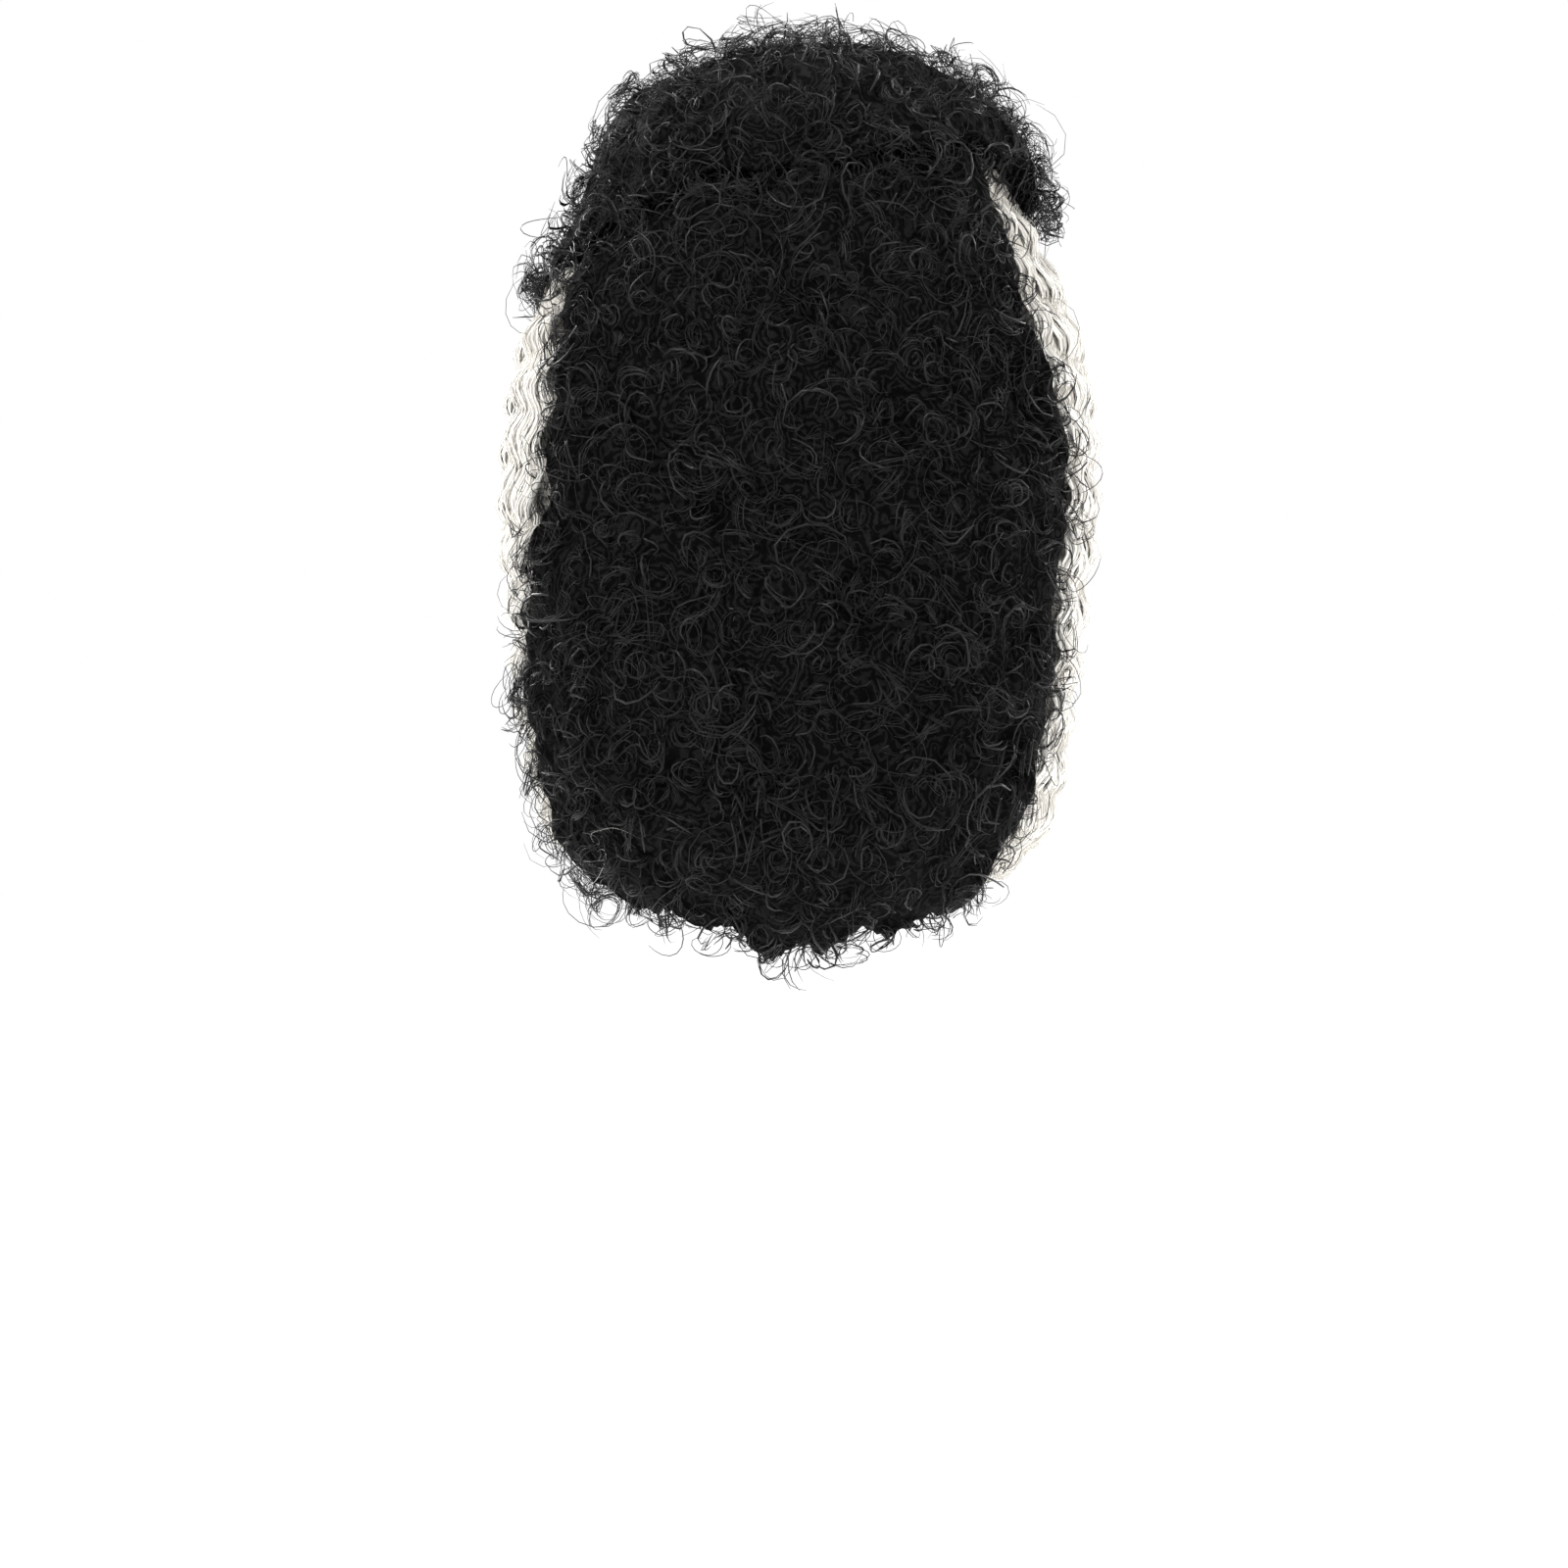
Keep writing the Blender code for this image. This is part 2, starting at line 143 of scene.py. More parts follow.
def lip_points(points, facing, node):
    """More curls that hang just below a node's lower edge and hide the step there."""
    corners = solids[node].reshape(-1, 3)
    corners = corners[np.hypot(corners[:, 0], corners[:, 1]) > LIP_REACH]
    turn = np.arctan2(corners[:, 0], corners[:, 1])
    own = np.arctan2(points[:, 0], points[:, 1])
    apart = np.abs(np.mod(own[:, None] - turn[None, :] + math.pi, 2 * math.pi) - math.pi)
    low = np.where(apart < LIP_WINDOW, corners[None, :, 2], 9.0).min(1)
    near = (points[:, 2] < low + LIP_BAND) & (np.hypot(points[:, 0], points[:, 1]) > LIP_REACH)
    near = np.repeat(np.flatnonzero(near), 2)
    hung = points[near] + rng.normal(0, 4, (len(near), 3)) * MM - facing[near] * 3 * MM
    hung[:, 2] = low[near] - rng.uniform(-2, 11, len(near)) * MM
    return hung, unit(facing[near] * np.array([1, 1, 0.2]))


LIP_REACH = 0.09
LIP_WINDOW = math.radians(6)
LIP_BAND = 16 * MM
hung, hung_facing = lip_points(*places["crown_hair"], "crown_hair")
places["crown_hair"] = tuple(np.concatenate(pair) for pair in zip(places["crown_hair"], (hung, hung_facing)))
print("curls", {name: len(p) for name, (p, n) in places.items()}, "hung", len(hung))

# %% [markdown]
# ## Strands
# A strand is a thin closed tube with three sides, flattened like real wig fibre. Its own UV map has the
# length along one axis and one of a few lanes along the other, so the finish can run streaks along the
# fibre and make each lane a little lighter or darker.

# %% Tubes from paths
BUNCH = 3


def strand_object(name, paths, outwards, widths, thickness):
    """One mesh of closed three-sided tubes along paths, an array of strand, point and axis."""
    count, steps, _ = paths.shape
    paths = np.clip(paths, low_corner - reach_out, high_corner + reach_out)
    along = unit(np.gradient(paths, axis=1))
    side = unit(np.cross(along, outwards))
    up = np.cross(side, along)
    flat = thickness * widths
    ring = np.stack(
        [
            paths + side * widths[..., None] - up * flat[..., None] * 0.5,
            paths + up * flat[..., None],
            paths - side * widths[..., None] - up * flat[..., None] * 0.5,
        ],
        axis=2,
    )
    first = (np.arange(count)[:, None, None] * steps + np.arange(steps - 1)[None, :, None]) * 3
    j = np.arange(3)[None, None, :]
    k = (j + 1) % 3
    quads = np.stack([first + k, first + j, first + 3 + j, first + 3 + k], -1).reshape(-1, 4)
    base = np.arange(count)[:, None] * steps * 3
    start_caps = base + np.array([[0, 1, 2]])
    end_caps = base + (steps - 1) * 3 + np.array([[2, 1, 0]])
    caps = np.concatenate([start_caps, end_caps])
    loops = np.concatenate([quads.ravel(), caps.ravel()]).astype(np.int32)
    starts = np.concatenate([np.arange(len(quads)) * 4, len(quads) * 4 + np.arange(len(caps)) * 3])
    mesh = bpy.data.meshes.new(name)
    mesh.vertices.add(count * steps * 3)
    mesh.vertices.foreach_set("co", ring.astype(np.float32).ravel())
    mesh.loops.add(len(loops))
    mesh.loops.foreach_set("vertex_index", loops)
    mesh.polygons.add(len(starts))
    mesh.polygons.foreach_set("loop_start", starts.astype(np.int32))
    lane = rng.integers(0, LANES, count // BUNCH + 1).repeat(BUNCH)[:count, None, None]
    u0 = np.broadcast_to(np.arange(steps - 1)[None, :, None] / (steps - 1), (count, steps - 1, 3))
    v0 = (lane + np.broadcast_to(j / 3, (count, steps - 1, 3))) / LANES
    du, dv = 1 / (steps - 1), 1 / (3 * LANES)
    quad_uv = np.stack(
        [
            np.stack([u0, v0 + dv], -1),
            np.stack([u0, v0], -1),
            np.stack([u0 + du, v0], -1),
            np.stack([u0 + du, v0 + dv], -1),
        ],
        axis=3,
    ).reshape(-1, 2)
    lane = lane[:, 0, 0]
    cap_v = np.stack([(lane + s) / LANES for s in (0.05, 0.5, 0.95)], -1)
    start_uv = np.stack([np.array([0.0, 0.01, 0.0]) + 0 * cap_v, cap_v], -1)
    end_uv = np.stack([np.array([1.0, 0.99, 1.0]) + 0 * cap_v, cap_v], -1)
    uv = np.concatenate([quad_uv, start_uv.reshape(-1, 2), end_uv.reshape(-1, 2)])
    layer = mesh.uv_layers.new(name="OFBake")
    layer.data.foreach_set("uv", uv.astype(np.float32).ravel())
    mesh.polygons.foreach_set("use_smooth", np.ones(len(starts), dtype=bool))
    mesh.update()
    mesh.validate()
    strand = bpy.data.objects.new(name, mesh)
    bpy.context.scene.collection.objects.link(strand)
    return strand


def check_outward(strand):
    """The volume of a piece, which is positive if its faces point outwards."""
    mesh = strand.data
    mesh.calc_loop_triangles()
    points = np.empty(len(mesh.vertices) * 3)
    mesh.vertices.foreach_get("co", points)
    corners = np.empty(len(mesh.loop_triangles) * 3, dtype=np.int32)
    mesh.loop_triangles.foreach_get("vertices", corners)
    p = points.reshape(-1, 3)[corners].reshape(-1, 3, 3)
    volume = np.einsum("ij,ij->i", p[:, 0], np.cross(p[:, 1], p[:, 2])).sum() / 6
    triangle_counts.append(len(p))
    print(strand.name, "triangles", len(p), "volume ml", round(volume * 1e6, 2))


# %% [markdown]
# ## Finishes
# Black wig fibre is almost black, with soft grey highlights along each arc. The pale fibre is off-white
# with cream shadows. Both are streaked along the fibre, darker at the root, and vary from lane to lane.

# %% Hair finish
def new_material(name):
    material = bpy.data.materials.new(name)
    material.use_nodes = True
    return material, material.node_tree.nodes, material.node_tree.links


def hair_finish(name, dark, light, rough_low, rough_high, specular):
    """Fibre streaks read from the strand's own UV map."""
    material, made, links = new_material(name)
    shader = made["Principled BSDF"]
    where = made.new("ShaderNodeUVMap")
    where.uv_map = "OFBake"
    stretch = made.new("ShaderNodeMapping")
    stretch.inputs["Scale"].default_value = (4, LANES * 5, 1)
    streaks = made.new("ShaderNodeTexNoise")
    streaks.inputs["Scale"].default_value = 1.6
    streaks.inputs["Detail"].default_value = 3
    streaks.inputs["Roughness"].default_value = 0.65
    split = made.new("ShaderNodeSeparateXYZ")
    lane = made.new("ShaderNodeMath")
    lane.operation = "MULTIPLY"
    lane.inputs[1].default_value = LANES
    whole = made.new("ShaderNodeMath")
    whole.operation = "FLOOR"
    chance = made.new("ShaderNodeTexWhiteNoise")
    chance.noise_dimensions = "1D"
    blend = made.new("ShaderNodeMath")
    blend.operation = "MULTIPLY_ADD"
    blend.inputs[1].default_value = 0.6
    root = made.new("ShaderNodeMapRange")
    root.inputs["From Max"].default_value = 0.35
    root.inputs["To Min"].default_value = -0.35
    root.inputs["To Max"].default_value = 0.0
    total = made.new("ShaderNodeMath")
    total.operation = "ADD"
    colours = made.new("ShaderNodeValToRGB")
    colours.color_ramp.elements[0].position = 0.38
    colours.color_ramp.elements[0].color = (*dark, 1)
    colours.color_ramp.elements[1].position = 0.9
    colours.color_ramp.elements[1].color = (*light, 1)
    rough = made.new("ShaderNodeMapRange")
    rough.inputs["To Min"].default_value = rough_low
    rough.inputs["To Max"].default_value = rough_high
    bump = made.new("ShaderNodeBump")
    bump.inputs["Strength"].default_value = 0.6
    bump.inputs["Distance"].default_value = 0.3 * MM
    links.new(where.outputs["UV"], stretch.inputs["Vector"])
    links.new(stretch.outputs["Vector"], streaks.inputs["Vector"])
    links.new(where.outputs["UV"], split.inputs["Vector"])
    links.new(split.outputs["Y"], lane.inputs[0])
    links.new(lane.outputs[0], whole.inputs[0])
    links.new(whole.outputs[0], chance.inputs["W"])
    links.new(chance.outputs["Value"], blend.inputs[0])
    links.new(streaks.outputs["Fac"], blend.inputs[2])
    links.new(split.outputs["X"], root.inputs["Value"])
    links.new(blend.outputs[0], total.inputs[0])
    links.new(root.outputs["Result"], total.inputs[1])
    links.new(total.outputs[0], colours.inputs["Fac"])
    links.new(colours.outputs["Color"], shader.inputs["Base Color"])
    links.new(streaks.outputs["Fac"], rough.inputs["Value"])
    links.new(rough.outputs["Result"], shader.inputs["Roughness"])
    links.new(streaks.outputs["Fac"], bump.inputs["Height"])
    links.new(bump.outputs["Normal"], shader.inputs["Normal"])
    shader.inputs["Specular IOR Level"].default_value = specular
    return material


def packed_finish(name, dark, light, scale, stretch_z, specular):
    """Packed hair seen between the strands: uneven rings round scattered centres, or streaks if stretched."""
    material, made, links = new_material(name)
    shader = made["Principled BSDF"]
    where = made.new("ShaderNodeTexCoord")
    stretch = made.new("ShaderNodeMapping")
    stretch.inputs["Scale"].default_value = (1, 1, stretch_z)
    tangle = made.new("ShaderNodeTexNoise")
    tangle.inputs["Scale"].default_value = scale * 2.5
    tangle.inputs["Detail"].default_value = 3
    shift = made.new("ShaderNodeVectorMath")
    shift.operation = "MULTIPLY_ADD"
    shift.inputs[1].default_value = (0.6 / scale,) * 3
    cells = made.new("ShaderNodeTexVoronoi")
    cells.inputs["Scale"].default_value = scale
    rings = made.new("ShaderNodeMath")
    rings.operation = "MULTIPLY"
    rings.inputs[1].default_value = 44
    wave = made.new("ShaderNodeMath")
    wave.operation = "SINE"
    fuzz = made.new("ShaderNodeTexNoise")
    fuzz.inputs["Scale"].default_value = scale * 6
    fuzz.inputs["Detail"].default_value = 5
    fuzz.inputs["Roughness"].default_value = 0.7
    level = made.new("ShaderNodeMath")
    level.operation = "MULTIPLY_ADD"
    level.inputs[1].default_value = 0.3
    colours = made.new("ShaderNodeValToRGB")
    colours.color_ramp.elements[0].position = 0.4
    colours.color_ramp.elements[0].color = (*dark, 1)
    colours.color_ramp.elements[1].position = 0.75
    colours.color_ramp.elements[1].color = (*light, 1)
    bump = made.new("ShaderNodeBump")
    bump.inputs["Strength"].default_value = 0.8
    bump.inputs["Distance"].default_value = 1.2 * MM
    links.new(where.outputs["Object"], stretch.inputs["Vector"])
    links.new(stretch.outputs["Vector"], tangle.inputs["Vector"])
    links.new(tangle.outputs["Color"], shift.inputs[0])
    links.new(stretch.outputs["Vector"], shift.inputs[2])
    links.new(shift.outputs["Vector"], cells.inputs["Vector"])
    links.new(stretch.outputs["Vector"], fuzz.inputs["Vector"])
    links.new(cells.outputs["Distance"], rings.inputs[0])
    links.new(rings.outputs[0], wave.inputs[0])
    links.new(wave.outputs[0], level.inputs[0])
    links.new(fuzz.outputs["Fac"], level.inputs[2])
    links.new(level.outputs[0], colours.inputs["Fac"])
    links.new(colours.outputs["Color"], shader.inputs["Base Color"])
    links.new(level.outputs[0], bump.inputs["Height"])
    links.new(bump.outputs["Normal"], shader.inputs["Normal"])
    shader.inputs["Roughness"].default_value = 0.7
    shader.inputs["Specular IOR Level"].default_value = specular
    return material


black_hair = hair_finish("black_fibre", (0.0012, 0.0012, 0.0013), (0.0075, 0.0072, 0.0072), 0.26, 0.42, 0.24)
pale_hair = hair_finish("pale_fibre", (0.50, 0.475, 0.43), (0.83, 0.81, 0.77), 0.38, 0.55, 0.4)
black_packed = packed_finish("black_packed_hair", (0.0002, 0.0002, 0.0002), (0.0065, 0.0063, 0.0063), 38, 1, 0.04)
pale_packed = packed_finish("pale_packed_hair", (0.42, 0.395, 0.35), (0.76, 0.735, 0.685), 120, 0.12, 0.2)
tape_finish = hair_finish("cap_tape", (0.003, 0.003, 0.003), (0.014, 0.014, 0.014), 0.6, 0.8, 0.2)


def net_finish(name):
    """Knitted net: threads along the height and round the head, with darker holes between them."""
    material, made, links = new_material(name)
    shader = made["Principled BSDF"]
    where = made.new("ShaderNodeTexCoord")
    split = made.new("ShaderNodeSeparateXYZ")
    turn = made.new("ShaderNodeMath")
    turn.operation = "ARCTAN2"
    rows = made.new("ShaderNodeMath")
    rows.operation = "MULTIPLY"
    rows.inputs[1].default_value = 2 * math.pi / NET_PITCH
    columns = made.new("ShaderNodeMath")
    columns.operation = "MULTIPLY"
    columns.inputs[1].default_value = NET_COLUMNS
    row_wave = made.new("ShaderNodeMath")
    row_wave.operation = "SINE"
    column_wave = made.new("ShaderNodeMath")
    column_wave.operation = "SINE"
    threads = made.new("ShaderNodeMath")
    threads.operation = "MAXIMUM"
    colours = made.new("ShaderNodeValToRGB")
    colours.color_ramp.elements[0].position = 0.3
    colours.color_ramp.elements[0].color = (0.002, 0.002, 0.002, 1)
    colours.color_ramp.elements[1].position = 0.9
    colours.color_ramp.elements[1].color = (0.02, 0.02, 0.02, 1)
    bump = made.new("ShaderNodeBump")
    bump.inputs["Strength"].default_value = 0.7
    bump.inputs["Distance"].default_value = 0.5 * MM
    links.new(where.outputs["Object"], split.inputs["Vector"])
    links.new(split.outputs["X"], turn.inputs[0])
    links.new(split.outputs["Y"], turn.inputs[1])
    links.new(split.outputs["Z"], rows.inputs[0])
    links.new(turn.outputs[0], columns.inputs[0])
    links.new(rows.outputs[0], row_wave.inputs[0])
    links.new(columns.outputs[0], column_wave.inputs[0])
    links.new(row_wave.outputs[0], threads.inputs[0])
    links.new(column_wave.outputs[0], threads.inputs[1])
    links.new(threads.outputs[0], colours.inputs["Fac"])
    links.new(colours.outputs["Color"], shader.inputs["Base Color"])
    links.new(threads.outputs[0], bump.inputs["Height"])
    links.new(bump.outputs["Normal"], shader.inputs["Normal"])
    shader.inputs["Roughness"].default_value = 0.85
    shader.inputs["Specular IOR Level"].default_value = 0.2
    return material


NET_PITCH = 2.5 * MM
NET_COLUMNS = 200
cap_net = net_finish("cap_net")

# %% [markdown]
# ## Packed hair under the strands
# Between the ringlets of a real wig one sees more hair, in shadow. Each mass gets a body a few
# millimetres inside its solid, with its surface broken up, so the curls stand on something dark.

# %% Bodies of packed hair
UNDER_DEPTH = 5 * MM


def welded_copy(node, name, material):
    """A copy of a node's shape with its corners merged, in place of the solid."""
    bpy.ops.object.select_all(action="DESELECT")
    body = bpy.data.objects.new(name, nodes[node].data.copy())
    body.data.name = name
    body.data.materials.clear()
    body.data.materials.append(material)
    bpy.context.scene.collection.objects.link(body)
    bpy.context.view_layer.objects.active = body
    body.select_set(True)
    bpy.ops.object.mode_set(mode="EDIT")
    bpy.ops.mesh.select_all(action="SELECT")
    bpy.ops.mesh.remove_doubles(threshold=0.01 * MM)
    bpy.ops.mesh.normals_make_consistent(inside=False)
    bpy.ops.object.mode_set(mode="OBJECT")
    return body


def take_place(body, node):
    """Moves with the wig, stands for the node's solid and is printed."""
    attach(body, "root")
    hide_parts(node)
    check_outward(body)


def packed_body(node, name, material, depth, lumps):
    """A copy of a node's shape, drawn in by depth and broken up."""
    body = welded_copy(node, name, material)
    split = body.modifiers.new("split", "SUBSURF")
    split.subdivision_type = "SIMPLE"
    split.levels = split.render_levels = 1
    bpy.ops.object.modifier_apply(modifier=split.name)
    even = body.modifiers.new("even", "SMOOTH")
    even.iterations = 4
    bpy.ops.object.modifier_apply(modifier=even.name)
    pattern = bpy.data.textures.new(name, "VORONOI")
    pattern.noise_scale = lumps
    shift = body.modifiers.new("shift", "DISPLACE")
    shift.texture = pattern
    shift.texture_coords = "LOCAL"
    shift.mid_level = 1.0
    shift.strength = depth
    bpy.ops.object.modifier_apply(modifier=shift.name)
    bpy.ops.object.shade_smooth()
    bpy.data.textures.remove(pattern)
    take_place(body, node)


for node in BLACK_NODES:
    packed_body(node, node + "_body", black_packed, UNDER_DEPTH * 1.1, 0.012)
for node in PALE_NODES:
    packed_body(node, node + "_body", pale_packed, UNDER_DEPTH * 0.8, 0.02)

# %% [markdown]
# ## Ringlets
# Half of the ringlets point at you and show as rings round a dark middle, and the rest lie on their side
# and show as C-shaped bundles. In each, a few bunches of parallel fibres wind round one axis.

# %% Curled strands
ARC_STEPS = 8
LOOP_STEPS = 13
CURL_RADIUS = 15.5 * MM


def curl_frames(points, outwards):
    """For each curl its axis, two directions across it, its size and the way that it winds."""
    count = len(points)
    loose = unit(rng.normal(size=(count, 3)))
    tangent = unit(loose - (loose * outwards).sum(1, keepdims=True) * outwards)
    faces_out = rng.random(count) < 0.6
    lean = np.where(faces_out, rng.uniform(0.05, 0.7, count), rng.uniform(0.9, 1.4, count))
    axis = unit(outwards * np.cos(lean)[:, None] + tangent * np.sin(lean)[:, None])
    e1 = unit(np.cross(axis, outwards + 0.01 * tangent))
    size = CURL_RADIUS * np.where(rng.random(count) < 0.2, rng.uniform(1.1, 1.45, count), rng.uniform(0.55, 1.0, count))
    return {
        "points": points,
        "out": outwards,
        "axis": axis,
        "e1": e1,
        "e2": np.cross(axis, e1),
        "size": size,
        "hand": rng.choice([-1, 1], count),
    }


def curl_paths(curls, bunches, fibres, steps, shares, winds, jitter):
    """Strands wound round each curl's axis in bunches, between two shares of its size and two numbers of turns."""
    count = len(curls["size"])
    shape = (count, bunches, fibres)
    size = curls["size"][:, None, None]
    share = shares[0] + (shares[1] - shares[0]) * (np.arange(bunches) + rng.random((count, bunches))) / bunches
    share = share[..., None] + rng.normal(0, jitter, shape)
    start = rng.uniform(0, 2 * math.pi, (count, bunches))[..., None] + rng.normal(0, 0.3, shape)
    turns = rng.uniform(*winds, (count, bunches))[..., None] + rng.normal(0, 0.06, shape)
    rise = rng.uniform(0.1, 0.8, (count, bunches))[..., None] + rng.normal(0, jitter, shape)
    foot = 0.30 * np.sin(np.clip(share, 0, 1) * math.pi) - 0.45 * rise + rng.normal(0, jitter, shape)
    drift = rng.normal(0, 0.16, (count, bunches, 1, 1, 3)) * size[..., None, None]
    t = np.linspace(0, 1, steps)
    angle = start[..., None] + curls["hand"][:, None, None, None] * 2 * math.pi * turns[..., None] * t
    waver = 1 + 0.12 * np.sin(2 * math.pi * t * 1.3 + start[..., None] * 3)
    opening = rng.uniform(-0.45, 0.35, (count, bunches))[..., None, None]
    reach = (size * share)[..., None] * waver * (1 + opening * (t - 0.5))
    tilt = rng.normal(0, 0.32, (count, bunches))[..., None, None]
    tilt_way = rng.uniform(0, 2 * math.pi, (count, bunches))[..., None, None]
    height = size[..., None] * (foot[..., None] + rise[..., None] * t) + reach * tilt * np.cos(angle - tilt_way)
    oval = rng.uniform(0.65, 1.0, (count, bunches))[..., None, None]

    def spread(v):
        return v[:, None, None, None, :]

    paths = (
        spread(curls["points"])
        + drift
        + spread(curls["e1"]) * (reach * np.cos(angle))[..., None]
        + spread(curls["e2"]) * (reach * oval * np.sin(angle))[..., None]
        + spread(curls["axis"]) * height[..., None]
    )
    out = np.broadcast_to(spread(curls["out"]), paths.shape)
    return paths.reshape(-1, steps, 3), out.reshape(-1, steps, 3)


def tapered(count, steps, width, low=0.4):
    """Half widths along each strand, thinner at both ends."""
    t = np.linspace(0, 1, steps)
    body = low + (1 - low) * np.sin(math.pi * np.clip(t * 1.04, 0, 1)) ** 0.5
    return width * rng.uniform(0.7, 1.25, (count, 1)) * body[None, :]


PIECE_TRIANGLES = 185000


def dress(name, material, batches):
    """Strands in as many pieces as their count asks for. Each batch is paths, outward directions, half width and
    thickness."""
    total = sum(len(paths) * ((paths.shape[1] - 1) * 6 + 2) for paths, *_ in batches)
    pieces = math.ceil(total / PIECE_TRIANGLES)
    for k in range(pieces):
        made = []
        for paths, outwards, width, thickness in batches:
            part = slice(k * len(paths) // pieces, (k + 1) * len(paths) // pieces)
            widths = tapered(len(paths[part]), paths.shape[1], width)
            made.append(strand_object(f"{name}_{k + 1}", paths[part], outwards[part], widths, thickness))
        bpy.ops.object.select_all(action="DESELECT")
        for strand in made:
            strand.select_set(True)
        piece = made[0]
        bpy.context.view_layer.objects.active = piece
        if len(made) > 1:
            bpy.ops.object.join()
        piece.data.materials.append(material)
        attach(piece, "root")
        check_outward(piece)


for node in BLACK_NODES:
    points, outwards = places[node]
    order = np.argsort(points[:, 2])
    points, outwards = points[order], outwards[order]
    depth = rng.normal(3, 2.5, (len(points), 1)) * MM
    curls = curl_frames(points - outwards * depth, outwards)
    ribbons = (*curl_paths(curls, 2, 1, ARC_STEPS, (0.35, 1.0), (0.35, 0.7), 0.04), 0.8 * MM, 0.4)
    fine = (*curl_paths(curls, 3, 3, ARC_STEPS, (0.2, 1.12), (0.3, 0.7), 0.06), 0.33 * MM, 0.8)
    loose = curl_frames(points + outwards * rng.uniform(-4, 5, (len(points), 1)) * MM, outwards)
    wisps = (*curl_paths(loose, 2, 1, LOOP_STEPS, (0.5, 1.1), (0.5, 1.2), 0.1), 0.28 * MM, 0.9)
    dress(node + "_curls", black_hair, [ribbons, fine, wisps])

# %% [markdown]
# ## Crimped side panels
# The pale hair isn't in ringlets. It was crimped between ridged plates, so all its strands bend in step,
# and the panel's edge shows the steps. Broad locks make the body of the panel and fine strands lie on them.

# %% Pale waves
WAVE_PITCH = 33 * MM
WAVE_STEPS = 76


def panel_surface(node):
    """Where a side panel's surface lies: heights, the turns of its two edges, and its distance from the middle."""
    tri = solids[node]
    tree = BVHTree.FromPolygons(
        [Vector(p) for p in tri.reshape(-1, 3)], [(3 * i, 3 * i + 1, 3 * i + 2) for i in range(len(tri))]
    )
    side = 1 if node.startswith("left") else -1
    turns = np.radians(np.arange(48, 122, 2.0))
    heights, edges, reaches = [], [], []
    for z in np.arange(tri[..., 2].min(), tri[..., 2].max(), 6 * MM):
        row = []
        for turn in turns:
            aim = Vector((side * math.sin(turn), math.cos(turn), 0))
            hit, facing, _, _ = tree.ray_cast(aim * 0.4 + Vector((0, 0, z)), -aim, 0.3)
            blocked = all_solids.ray_cast(aim * 0.4 + Vector((0, 0, z)), -aim, 0.3)[0]
            clear = hit is not None and (hit - blocked).length < 25 * MM
            row.append(math.hypot(hit.x, hit.y) if clear and math.hypot(hit.x, hit.y) > 0.1 else np.nan)
        row = np.array(row)
        found = np.flatnonzero(~np.isnan(row))
        if len(found) > 5:
            heights.append(z)
            edges.append((turns[found[0]], turns[found[-1]]))
            reaches.append(np.interp(turns, turns[found], row[found]))
    heights, edges, reaches = np.array(heights), np.array(edges), np.array(reaches)
    soft = np.exp(-0.5 * (np.arange(-6, 7) / 3) ** 2)
    soft /= soft.sum()

    def even(v):
        return np.convolve(np.pad(v, 6, mode="edge"), soft, mode="valid")

    edges = np.stack([even(edges[:, 0]), even(edges[:, 1])], 1)
    reaches = np.stack([even(column) for column in reaches.T], 1)
    return side, turns, heights, edges, reaches


def wave_paths(surface, across, lift, swing, ends):
    """Crimped strands down a panel. across is each strand's share of the way over it, lift its height over it."""
    side, turns, heights, edges, reaches = surface
    count = len(across)
    t = np.linspace(0, 1, WAVE_STEPS)
    top = heights[-1] - rng.uniform(0, ends[0], count)
    bottom = heights[0] + rng.uniform(0, ends[1], count)
    z = top[:, None] + (bottom - top)[:, None] * t
    first = np.interp(z, heights, edges[:, 0])
    last = np.interp(z, heights, edges[:, 1])
    turn = first + (last - first) * across[:, None]
    rows = np.interp(z, heights, np.arange(len(heights)))
    columns = np.interp(turn, turns, np.arange(len(turns)))
    r0, c0 = np.minimum(rows.astype(int), len(heights) - 2), np.minimum(columns.astype(int), len(turns) - 2)
    fr, fc = rows - r0, columns - c0
    reach = (reaches[r0, c0] * (1 - fr) + reaches[r0 + 1, c0] * fr) * (1 - fc)
    reach += (reaches[r0, c0 + 1] * (1 - fr) + reaches[r0 + 1, c0 + 1] * fr) * fc
    lock = np.floor(across * 7)
    phase = 0.9 * np.sin(lock * 2.1 + side) + rng.normal(0, 0.12, count)
    wave = z * 2 * math.pi / WAVE_PITCH + phase[:, None] + 0.6 * np.sin(z * 31 + lock[:, None])
    crest = 1 - np.abs(np.mod(across * 7, 1) - 0.5) * 2
    reach = reach + lift[:, None] + swing * np.sin(wave) + 2.5 * MM * crest[:, None] ** 0.6 - 3 * MM
    tuck = np.clip((0.06 - t) / 0.06, 0, 1)[None, :] * 8 * MM + np.clip((t - 0.93) / 0.07, 0, 1)[None, :] ** 2 * 14 * MM
    reach = reach - tuck
    turn = turn + swing * 0.9 * np.cos(wave + 0.4) / reach
    out = np.stack([side * np.sin(turn), np.cos(turn), np.zeros_like(turn)], -1)
    return out * reach[..., None] + np.stack([0 * z, 0 * z, z], -1), out


for node in PALE_NODES:
    surface = panel_surface(node)
    locks = np.linspace(0.0, 1.0, 60) + rng.normal(0, 0.006, 60)
    broad = (*wave_paths(surface, locks, rng.uniform(-1.5, 1.5, 60) * MM, 3.2 * MM, (12 * MM, 16 * MM)), 2.3 * MM, 0.35)
    fine_across = rng.uniform(-0.03, 1.03, 76)
    fine = (
        *wave_paths(surface, fine_across, rng.uniform(0.5, 4, 76) * MM, 3.6 * MM, (40 * MM, 50 * MM)),
        0.55 * MM,
        0.8,
    )
    dress(node.replace("hair", "waves"), pale_hair, [broad, fine])

